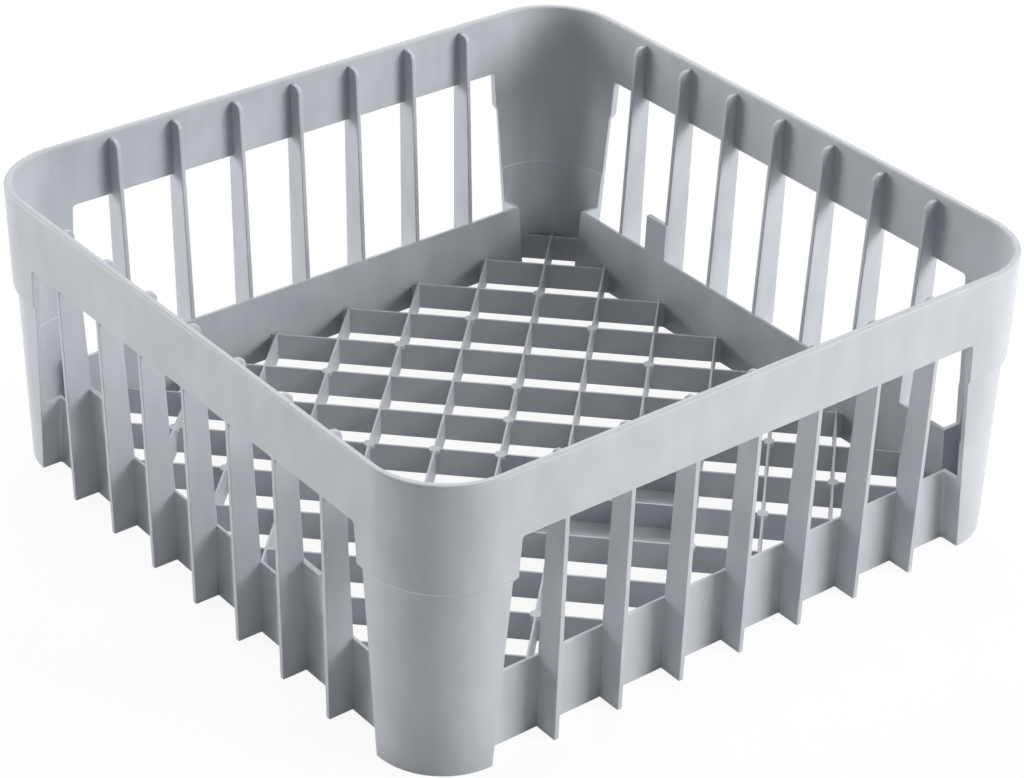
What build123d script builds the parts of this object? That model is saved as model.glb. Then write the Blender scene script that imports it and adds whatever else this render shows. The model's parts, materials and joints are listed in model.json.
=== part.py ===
from build123d import *
from math import radians, tan
import os

os.makedirs("parts", exist_ok=True)

# Rim, walls and draft (millimetres and degrees)
rack_width = 400.0  # across the rim, the same both ways
rack_height = 166.0
corner_radius = 44.0  # outside of the rim
rim_wall = 4.2  # wall thickness at the rim
rim_round = 1.5  # outer top edge of the rim
rim_chamfer = 0.8  # inner top edge of the rim
outer_draft = 1.0  # outside faces lean in going down
inner_draft = 1.3  # inside faces lean in going down
band_height = 36.8  # plain band under the rim

# Corner posts and the wide opening between them in every wall
shoulder_height = 104.0  # foot of the sloped shoulder on each post
shoulder_rise = 3.0  # height of the slope
shoulder_step = 2.2  # how far the post stands back below it
opening_top = 144.5  # half the opening's width at the band
opening_flare = 1.4  # widening from the band down to the shoulder
opening_step = 1.4  # widening over the shoulder's slope
opening_foot = 155.5  # half the opening's width at the foot
opening_round = 2.0  # upper corners of the opening
ledge_height = 66.0  # the post's wall is thicker inside below this
ledge_step = 0.6

# Fins on every wall
fin_count = 7
fin_pitch = 39.5
fin_thickness = 2.8
fin_gap = 3.5  # from the fins' tops up to the rim
fin_round = 4.5  # inner corner of a fin's top
fin_inset = 17.0  # from the rim's outside to a fin's inner edge, at the skirt's top
fin_lean = 2.3  # the fins' inner edges lean in going down

# Skirts around the floor, joined to the posts by end plates
skirt_height = 42.5
skirt_wall = 2.0  # at the top; the inner face has the inner draft
skirt_bite = 0.4  # how far the fins reach into the skirt at its top
end_wall = 2.5
bend_radius = 1.5  # inside of the bend between skirt and end plate

# Tabs standing on two opposite skirts
tab_height = 23.0
tab_width = 17.4
tab_fins = (-3, 2)  # fins that carry a tab, counted from the middle one

# Floor of crossed diagonal ribs
rib_turn = 45.0  # between the ribs and the walls
rib_pitch = 36.1
rib_reach = 7  # ribs on each side of the middle one
rib_height = 16.0
rib_top = 1.3
rib_foot = 2.2
boss_width = 6.8  # across opposite corners
boss_sides = 8
boss_depth = 2.5
boss_ring = 5  # the outer bosses stand this many pitches from the middle
boss_cross = 2  # the inner bosses reach this many pitches along both middle ribs
blank_long = 3  # cells closed by the blank plate, one way and the other
blank_wide = 2
blank_wall = 1.5

# Heights and half widths that follow
half_width = rack_width / 2
band_foot = rack_height - band_height
shoulder_top = shoulder_height + shoulder_rise
opening_shoulder = opening_top + opening_flare + opening_step
fin_top = rack_height - fin_gap
tab_top = skirt_height + tab_height
skirt_inset = fin_inset - skirt_bite


# Insets from the rim's outside at a given height
def outer_inset(height):
    return (rack_height - height) * tan(radians(outer_draft))


def post_inset(height):
    return outer_inset(height) + shoulder_step


def inner_inset(height):
    return rim_wall + (rack_height - height) * tan(radians(inner_draft))


def fin_inner_inset(height):
    return fin_inset + (skirt_height - height) * tan(radians(fin_lean))


def skirt_inner_inset(height):
    return skirt_inset + skirt_wall + (skirt_height - height) * tan(radians(inner_draft))


# Half the opening's width between the posts, below the shoulder
def opening_reach(height):
    return opening_foot - (opening_foot - opening_shoulder) * height / shoulder_height


def rounded_square(inset):
    side = rack_width - 2 * inset
    return RectangleRounded(side, side, corner_radius - inset)


# One wall's skirt with its end plates, on the -Y side
with BuildPart() as channel:
    outer = skirt_inset - half_width
    for height in (0.0, skirt_height):
        reach = opening_reach(height)
        inner = skirt_inner_inset(height) - half_width
        joint = (post_inset(height) + inner_inset(height)) / 2 - half_width
        with BuildSketch(Plane.XY.offset(height)):
            with BuildLine():
                Polyline(
                    (-reach - end_wall, joint),
                    (-reach, joint),
                    (-reach, outer),
                    (reach, outer),
                    (reach, joint),
                    (reach + end_wall, joint),
                    (reach + end_wall, inner),
                    (-reach - end_wall, inner),
                    close=True,
                )
            face = make_face()
            fillet(face.vertices().filter_by_position(Axis.Y, outer, outer), bend_radius)
            fillet(face.vertices().filter_by_position(Axis.Y, inner, inner), bend_radius + skirt_wall)
    loft(ruled=True)

# One wall's fins, on the -Y side
with BuildPart() as fins:
    fin_places = [Plane.YZ.offset((i - (fin_count - 1) / 2) * fin_pitch) for i in range(fin_count)]
    with BuildSketch(*fin_places):
        with BuildLine():
            Polyline(
                (outer_inset(0) - half_width, 0),
                (outer_inset(band_foot) - half_width, band_foot),
                (outer_inset(band_foot) + rim_wall / 2 - half_width, band_foot),
                (outer_inset(band_foot) + rim_wall / 2 - half_width, fin_top),
                (fin_inner_inset(fin_top) - half_width, fin_top),
                (fin_inner_inset(0) - half_width, 0),
                close=True,
            )
        make_face()
        fillet(vertices().group_by(Axis.Y)[-1].sort_by(Axis.X)[-1], fin_round)
    extrude(amount=fin_thickness / 2, both=True)

# One wall's tabs, on the -Y side, each from its fin's outer side towards +X
with BuildPart() as tabs:
    with BuildSketch(*[Plane.YZ.offset(i * fin_pitch - fin_thickness / 2) for i in tab_fins]):
        with BuildLine():
            Polyline(
                (fin_inner_inset(skirt_height) - skirt_bite - half_width, skirt_height),
                (skirt_inner_inset(skirt_height) - half_width, skirt_height),
                (skirt_inner_inset(tab_top) - half_width, tab_top),
                (fin_inner_inset(tab_top) - skirt_bite - half_width, tab_top),
                close=True,
            )
        make_face()
    extrude(amount=tab_width)

# Floor: ribs both ways, trimmed inside the skirts and the posts, with bosses and a blank plate
with BuildPart() as ribs:
    rib_numbers = range(-rib_reach, rib_reach + 1)
    with BuildSketch(*[Plane.XZ.shift_origin((i * rib_pitch, 0, 0)) for i in rib_numbers]):
        with BuildLine():
            Polyline(
                (-rib_foot / 2, 0),
                (rib_foot / 2, 0),
                (rib_top / 2, rib_height),
                (-rib_top / 2, rib_height),
                close=True,
            )
        make_face()
    extrude(amount=rack_width, both=True)

with BuildPart() as floor:
    for turn in (rib_turn, -rib_turn):
        add(ribs.part, rotation=(0, 0, turn))
    trim_edge = half_width - skirt_inset - skirt_wall / 2
    trim_reach = (opening_reach(0) + opening_reach(rib_height) + end_wall) / 2
    with BuildSketch():
        rounded_square((post_inset(0) + inner_inset(0)) / 2)
        with PolarLocations(trim_edge + half_width, 4):
            Rectangle(rack_width, 2 * trim_reach, mode=Mode.SUBTRACT)
    extrude(amount=rib_height, mode=Mode.INTERSECT)
    boss_places = [
        (i * rib_pitch, j * rib_pitch)
        for i in rib_numbers
        for j in rib_numbers
        if abs(i) + abs(j) == boss_ring or (i * j == 0 and abs(i) + abs(j) <= boss_cross)
    ]
    with BuildSketch(Plane.XY.offset(rib_height).rotated((0, 0, rib_turn))):
        with Locations(*boss_places):
            RegularPolygon(boss_width / 2, boss_sides)
    extrude(amount=-boss_depth)
    with BuildSketch(Plane.XY.rotated((0, 0, rib_turn))):
        Rectangle(blank_long * rib_pitch, blank_wide * rib_pitch, align=(Align.MIN, Align.MAX))
    extrude(amount=blank_wall)

with BuildPart() as glass_rack:
    # Walls: from the recessed posts over the shoulder's slope up to the rim
    wall_sections = (
        (0.0, post_inset(0)),
        (shoulder_height, post_inset(shoulder_height)),
        (shoulder_top, outer_inset(shoulder_top)),
        (rack_height, 0.0),
    )
    for height, inset in wall_sections:
        with BuildSketch(Plane.XY.offset(height)):
            rounded_square(inset)
    loft(ruled=True)

    # Hollow, with the sloped ledge low in the posts and the chamfer at the rim
    hollow_sections = (
        (0.0, inner_inset(0) + ledge_step),
        (ledge_height - ledge_step, inner_inset(ledge_height - ledge_step) + ledge_step),
        (ledge_height, inner_inset(ledge_height)),
        (rack_height - rim_chamfer, inner_inset(rack_height - rim_chamfer)),
        (rack_height, rim_wall - rim_chamfer),
    )
    for height, inset in hollow_sections:
        with BuildSketch(Plane.XY.offset(height)):
            rounded_square(inset)
    loft(ruled=True, mode=Mode.SUBTRACT)

    # Rounded outside of the rim
    fillet(faces().sort_by(Axis.Z)[-1].outer_wire().edges(), rim_round)

    # Openings under the band in all four walls
    with BuildSketch(Plane.XZ, Plane.YZ):
        with BuildLine():
            Polyline(
                (0, 0),
                (opening_foot, 0),
                (opening_shoulder, shoulder_height),
                (opening_top + opening_flare, shoulder_top),
                (opening_top, band_foot),
                (0, band_foot),
            )
            mirror(about=Plane.YZ)
        make_face()
        fillet(vertices().group_by(Axis.Y)[-1], opening_round)
    extrude(amount=half_width, both=True, mode=Mode.SUBTRACT)

    # Fins, skirts and tabs
    with PolarLocations(0, 4):
        add(fins.part)
        add(channel.part)
    with PolarLocations(0, 2):
        add(tabs.part)

    # Floor
    add(floor.part)

glass_rack.part.label = "glass_rack"
export_step(glass_rack.part, "parts/glass_rack.step")
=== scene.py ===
import bmesh
import bpy
import json
from math import copysign, hypot, radians, sin
from mathutils import Euler, Matrix, Vector

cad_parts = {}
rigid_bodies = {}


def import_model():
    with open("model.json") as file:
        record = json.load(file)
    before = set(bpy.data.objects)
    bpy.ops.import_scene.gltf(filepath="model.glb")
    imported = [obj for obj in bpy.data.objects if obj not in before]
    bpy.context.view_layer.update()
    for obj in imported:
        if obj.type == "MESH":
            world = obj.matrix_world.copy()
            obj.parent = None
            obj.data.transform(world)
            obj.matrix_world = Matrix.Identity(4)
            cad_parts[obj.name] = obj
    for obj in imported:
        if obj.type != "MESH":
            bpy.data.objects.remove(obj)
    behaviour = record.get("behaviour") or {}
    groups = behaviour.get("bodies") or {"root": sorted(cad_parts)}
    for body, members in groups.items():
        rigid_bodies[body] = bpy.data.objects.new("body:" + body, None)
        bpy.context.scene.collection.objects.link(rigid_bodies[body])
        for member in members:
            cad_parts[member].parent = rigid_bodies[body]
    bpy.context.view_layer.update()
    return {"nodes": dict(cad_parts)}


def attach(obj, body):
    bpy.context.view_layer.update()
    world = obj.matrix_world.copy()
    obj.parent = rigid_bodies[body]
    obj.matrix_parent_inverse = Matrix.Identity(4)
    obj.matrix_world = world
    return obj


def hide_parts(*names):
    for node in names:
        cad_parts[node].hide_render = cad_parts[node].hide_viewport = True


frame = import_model()


def selectOnly(piece):
    bpy.ops.object.select_all(action="DESELECT")
    piece.select_set(True)
    bpy.context.view_layer.objects.active = piece


# The moulding: the CAD form with the small edge rounds of a real mould
rack = {
    "mergeDistance": 0.000005,
    "flatAngle": 0.4,  # faces flatter than this are joined before rounding
    "sharpAngle": 30.0,  # edges sharper than this are rounded
    "smoothAngle": 40.0,
    "edgeRound": 0.00035,
    "finRound": 0.0007,  # inner edges of the fins
    "roundSegments": 3,
    "halfWidth": 0.2,
    "cornerRadius": 0.044,
    "rimFoot": 0.1645,
    "rimOuter": 0.003,  # the rim above its foot is round already, this far in
    "finPitch": 0.0395,
    "finReach": 0.12,
    "finHalf": 0.0015,
    "finInset": (0.004, 0.0179),  # from the rim's outside, top to foot
    "finFoot": {0.0425: 0.0170, 0.0655: 0.01608},  # height and inset on the skirts and on the tabs
    "tabInset": (0.0155, 0.0167),  # outer face of the tabs, from the rim's outside
    "tabProud": 0.0008,  # and how far it stands out over the skirt
    "uprightSlope": 0.1,  # most that an upright face's normal rises or falls
    "spotSize": 0.00003,
}


def insetFromRim(spot):
    straight = rack["halfWidth"] - rack["cornerRadius"]
    return rack["cornerRadius"] - hypot(max(abs(spot.x) - straight, 0.0), max(abs(spot.y) - straight, 0.0))


def isOnFin(spot):
    along = min(abs(spot.x), abs(spot.y))
    centre = round(along / rack["finPitch"]) * rack["finPitch"]
    low, high = rack["finInset"]
    nearFin = along < rack["finReach"] and abs(along - centre) < rack["finHalf"]
    return nearFin and low < insetFromRim(spot) < high


# a fin's inner foot goes a little deeper over the skirt, so that its round has room there
def deepenFinFeet(mesh):
    for corner in mesh.verts:
        for height, inset in rack["finFoot"].items():
            atHeight = abs(corner.co.z - height) < rack["spotSize"]
            if atHeight and isOnFin(corner.co) and abs(insetFromRim(corner.co) - inset) < rack["spotSize"]:
                across = 0 if abs(corner.co.x) > abs(corner.co.y) else 1
                corner.co[across] -= copysign(rack["finRound"], corner.co[across])


# the tabs stand out a little over the skirt below them
def raiseTabs(mesh):
    foot, top = sorted(rack["finFoot"])
    inner, outer = rack["tabInset"]
    fronts = []
    for face in mesh.faces:
        spots = [corner.co for corner in face.verts]
        upright = abs(face.normal.z) < rack["uprightSlope"]
        atHeight = all(foot - rack["spotSize"] < spot.z < top + rack["spotSize"] for spot in spots)
        if upright and atHeight and all(inner < insetFromRim(spot) < outer for spot in spots):
            fronts.append(face)
    fronts = bmesh.ops.extrude_discrete_faces(mesh, faces=fronts)["faces"]
    for corner in {corner for front in fronts for corner in front.verts}:
        corner.co.y += copysign(rack["tabProud"], corner.co.y)
    mesh.normal_update()
    # a new side that lies flat beside a face, or folded back on the fin, is joined with it
    sides = {side for front in fronts for edge in front.edges for side in edge.link_faces}
    borders = {edge for side in sides for edge in side.edges}
    flattest = sin(radians(rack["flatAngle"]))
    joints = [edge for edge in mesh.edges if edge in borders and sin(edge.calc_face_angle()) < flattest]
    bmesh.ops.dissolve_edges(mesh, edges=joints, use_verts=True)
    mesh.normal_update()
    print("tabs raised", len(fronts))


# outer edges get a round; inner corners, the foot plane and the rim's own round stay
def markRounds(mesh):
    weight = mesh.edges.layers.float.new("bevel_weight_edge")
    skirtTop = min(rack["finFoot"]) - rack["spotSize"]
    for edge in mesh.edges:
        ends = [corner.co for corner in edge.verts]
        highest = max(end.z for end in ends)
        onRim = highest > rack["rimFoot"] and min(insetFromRim(end) for end in ends) < rack["rimOuter"]
        if onRim or highest < rack["spotSize"] or not edge.is_convex:
            continue
        if edge.calc_face_angle() < radians(rack["sharpAngle"]):
            continue
        onFin = all(isOnFin(end) and end.z > skirtTop for end in ends)
        edge[weight] = 1.0 if onFin else rack["edgeRound"] / rack["finRound"]


def makeRackBody():
    cadNode = frame["nodes"]["glass_rack"]
    selectOnly(cadNode)
    bpy.ops.object.duplicate()
    body = bpy.context.active_object
    body.name = "rackBody"
    for key in list(body.keys()):
        del body[key]
    bpy.ops.object.parent_clear(type="CLEAR_KEEP_TRANSFORM")

    # loose triangles become whole faces again
    bpy.ops.object.mode_set(mode="EDIT")
    bpy.ops.mesh.select_all(action="SELECT")
    bpy.ops.mesh.remove_doubles(threshold=rack["mergeDistance"])
    bpy.ops.mesh.dissolve_limited(angle_limit=radians(rack["flatAngle"]))
    mesh = bmesh.from_edit_mesh(body.data)
    deepenFinFeet(mesh)
    raiseTabs(mesh)
    markRounds(mesh)
    bmesh.update_edit_mesh(body.data)
    bpy.ops.object.mode_set(mode="OBJECT")

    softEdges = body.modifiers.new("softEdges", "BEVEL")
    softEdges.width = rack["finRound"]
    softEdges.segments = rack["roundSegments"]
    softEdges.limit_method = "WEIGHT"
    softEdges.use_clamp_overlap = False
    bpy.ops.object.modifier_apply(modifier="softEdges")

    # flat faces stay flat, only the rounds are shaded across
    bpy.ops.object.shade_smooth_by_angle(angle=radians(rack["smoothAngle"]))
    evenShade = body.modifiers.new("evenShade", "WEIGHTED_NORMAL")
    evenShade.keep_sharp = True
    bpy.ops.object.modifier_apply(modifier="evenShade")
    print("rack body", len(body.data.polygons), "faces")
    return body


# Grey moulded polypropylene, satin, with faint clouding, upright flow streaks and fine grain
plastic = {
    "dark": (0.438, 0.460, 0.490, 1.0),
    "light": (0.506, 0.528, 0.558, 1.0),
    "tintRange": (0.35, 0.65),  # part of the noise that runs from dark to light
    "cloudScale": 24.0,
    "cloudDetail": 5.0,
    "streakScale": 80.0,
    "streakDetail": 3.0,
    "streakStretch": (1.0, 1.0, 0.4),
    "streakShare": 0.5,
    "grainScale": 1400.0,
    "grainDetail": 2.0,
    "grainDepth": 0.00006,
    "grainStrength": 0.25,
    "specular": 0.45,
    "sheenRange": (0.3, 0.7),  # part of the noise that runs from low to high roughness
    "roughness": (0.40, 0.58),
}


def addNoise(nodes, links, place, scale, detail):
    noise = nodes.new("ShaderNodeTexNoise")
    noise.inputs["Scale"].default_value = scale
    noise.inputs["Detail"].default_value = detail
    links.new(place, noise.inputs["Vector"])
    return noise.outputs["Fac"]


def makePlastic():
    finish = bpy.data.materials.new("greyPolypropylene")
    finish.use_nodes = True
    nodes = finish.node_tree.nodes
    links = finish.node_tree.links
    shader = nodes["Principled BSDF"]
    shader.inputs["Specular IOR Level"].default_value = plastic["specular"]
    place = nodes.new("ShaderNodeTexCoord").outputs["Object"]

    cloud = addNoise(nodes, links, place, plastic["cloudScale"], plastic["cloudDetail"])
    upright = nodes.new("ShaderNodeMapping")
    upright.inputs["Scale"].default_value = plastic["streakStretch"]
    links.new(place, upright.inputs["Vector"])
    stretched = upright.outputs["Vector"]
    streak = addNoise(nodes, links, stretched, plastic["streakScale"], plastic["streakDetail"])
    blend = nodes.new("ShaderNodeMix")
    blend.inputs["Factor"].default_value = plastic["streakShare"]
    links.new(cloud, blend.inputs["A"])
    links.new(streak, blend.inputs["B"])

    tint = nodes.new("ShaderNodeValToRGB")
    for stop, position, shade in zip(tint.color_ramp.elements, plastic["tintRange"], ("dark", "light")):
        stop.position = position
        stop.color = plastic[shade]
    links.new(blend.outputs["Result"], tint.inputs["Fac"])
    links.new(tint.outputs["Color"], shader.inputs["Base Color"])

    sheen = nodes.new("ShaderNodeMapRange")
    sheen.inputs["From Min"].default_value, sheen.inputs["From Max"].default_value = plastic["sheenRange"]
    sheen.inputs["To Min"].default_value, sheen.inputs["To Max"].default_value = plastic["roughness"]
    links.new(blend.outputs["Result"], sheen.inputs["Value"])
    links.new(sheen.outputs["Result"], shader.inputs["Roughness"])

    grain = addNoise(nodes, links, place, plastic["grainScale"], plastic["grainDetail"])
    relief = nodes.new("ShaderNodeBump")
    relief.inputs["Strength"].default_value = plastic["grainStrength"]
    relief.inputs["Distance"].default_value = plastic["grainDepth"]
    links.new(grain, relief.inputs["Height"])
    links.new(relief.outputs["Normal"], shader.inputs["Normal"])
    print("plastic made")
    return finish


rackBody = makeRackBody()
greyPlastic = makePlastic()
rackBody.data.materials.clear()
rackBody.data.materials.append(greyPlastic)
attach(rackBody, "root")
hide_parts("glass_rack")

# Studio: white floor, soft boxes at both sides, behind and above, camera as in the photograph
studio = {
    "floorSize": 12.0,
    "floorColor": (0.92, 0.92, 0.92, 1.0),
    "floorRoughness": 0.9,
    "floorLift": 0.92,  # share of plain white that the camera sees on the floor
    "whiteLevel": 1.0,
    "worldLight": 0.04,
    "boxSize": 1.2,
    "lamps": {
        "sideLeft": {"place": (-1.830, -1.647, 0.514), "power": 48.0},
        "leftHigh": {"place": (-1.756, -0.200, 1.848), "power": 13.0},
        "behindHigh": {"place": (-1.383, 1.100, 1.848), "power": 27.0},
        "overhead": {"place": (0.0, 0.0, 2.580), "power": 10.0},
        "sideRight": {"place": (1.480, 1.861, 0.853), "power": 15.0},
        "frontRight": {"place": (1.821, 1.348, 1.137), "power": 51.0},
    },
    "aim": (0.0, 0.0, 0.08),
}


# 1 for a ray that shows the background: seen straight, mirrored or through glass
def addBackgroundRay(nodes, links):
    ray = nodes.new("ShaderNodeLightPath")
    mirrored = nodes.new("ShaderNodeMath")
    mirrored.operation = "MAXIMUM"
    links.new(ray.outputs["Is Camera Ray"], mirrored.inputs[0])
    links.new(ray.outputs["Is Glossy Ray"], mirrored.inputs[1])
    through = nodes.new("ShaderNodeMath")
    through.operation = "MAXIMUM"
    links.new(mirrored.outputs["Value"], through.inputs[0])
    links.new(ray.outputs["Is Transmission Ray"], through.inputs[1])
    return through.outputs["Value"]


def makeFloor():
    bpy.ops.object.select_all(action="DESELECT")
    bpy.ops.mesh.primitive_plane_add(size=studio["floorSize"])
    floor = bpy.context.active_object
    floor.name = "studioFloor"
    paint = bpy.data.materials.new("studioWhite")
    paint.use_nodes = True
    nodes = paint.node_tree.nodes
    links = paint.node_tree.links
    matte = nodes["Principled BSDF"]
    matte.inputs["Base Color"].default_value = studio["floorColor"]
    matte.inputs["Roughness"].default_value = studio["floorRoughness"]
    matte.inputs["Specular IOR Level"].default_value = 0.0
    white = nodes.new("ShaderNodeEmission")
    white.inputs["Strength"].default_value = studio["whiteLevel"]
    seen = nodes.new("ShaderNodeMath")
    seen.operation = "MULTIPLY"
    seen.inputs[1].default_value = studio["floorLift"]
    links.new(addBackgroundRay(nodes, links), seen.inputs[0])
    mix = nodes.new("ShaderNodeMixShader")
    links.new(seen.outputs["Value"], mix.inputs["Fac"])
    links.new(matte.outputs["BSDF"], mix.inputs[1])
    links.new(white.outputs["Emission"], mix.inputs[2])
    links.new(mix.outputs["Shader"], nodes["Material Output"].inputs["Surface"])
    floor.data.materials.append(paint)
    print("floor made")


def makeWorld():
    world = bpy.data.worlds.new("studioWorld")
    bpy.context.scene.world = world
    world.use_nodes = True
    nodes = world.node_tree.nodes
    links = world.node_tree.links
    room = nodes["Background"]
    room.inputs["Color"].default_value = (1.0, 1.0, 1.0, 1.0)
    room.inputs["Strength"].default_value = studio["worldLight"]
    white = nodes.new("ShaderNodeBackground")
    white.inputs["Strength"].default_value = studio["whiteLevel"]
    mix = nodes.new("ShaderNodeMixShader")
    links.new(addBackgroundRay(nodes, links), mix.inputs["Fac"])
    links.new(room.outputs["Background"], mix.inputs[1])
    links.new(white.outputs["Background"], mix.inputs[2])
    links.new(mix.outputs["Shader"], nodes["World Output"].inputs["Surface"])
    print("world made")


def makeLamps():
    aim = Vector(studio["aim"])
    for name, lamp in studio["lamps"].items():
        bpy.ops.object.light_add(type="AREA", location=lamp["place"])
        light = bpy.context.active_object
        light.name = name
        light.data.shape = "SQUARE"
        light.data.size = studio["boxSize"]
        light.data.energy = lamp["power"]
        light.rotation_euler = (light.location - aim).to_track_quat("Z", "Y").to_euler()
    print("lamps made")


# Camera worked out from the rack's own straight edges
camera = {
    "place": (1.0396, -0.8281, 0.8652),
    "tilt": 58.710,  # from straight down
    "turn": 51.225,
    "roll": 1.439,
    "lens": 101.92,
    "sensor": 36.0,
}


def makeCamera():
    bpy.ops.object.camera_add(location=camera["place"])
    eye = bpy.context.active_object
    eye.name = "photoCamera"
    aim = Euler((radians(camera["tilt"]), 0.0, radians(camera["turn"]))).to_matrix()
    aim = aim @ Matrix.Rotation(radians(camera["roll"]), 3, "Z")
    eye.rotation_euler = aim.to_euler()
    eye.data.sensor_fit = "HORIZONTAL"
    eye.data.sensor_width = camera["sensor"]
    eye.data.lens = camera["lens"]
    bpy.context.scene.camera = eye
    print("camera made")


makeFloor()
makeWorld()
makeLamps()
makeCamera()
bpy.context.scene.view_settings.view_transform = "Standard"
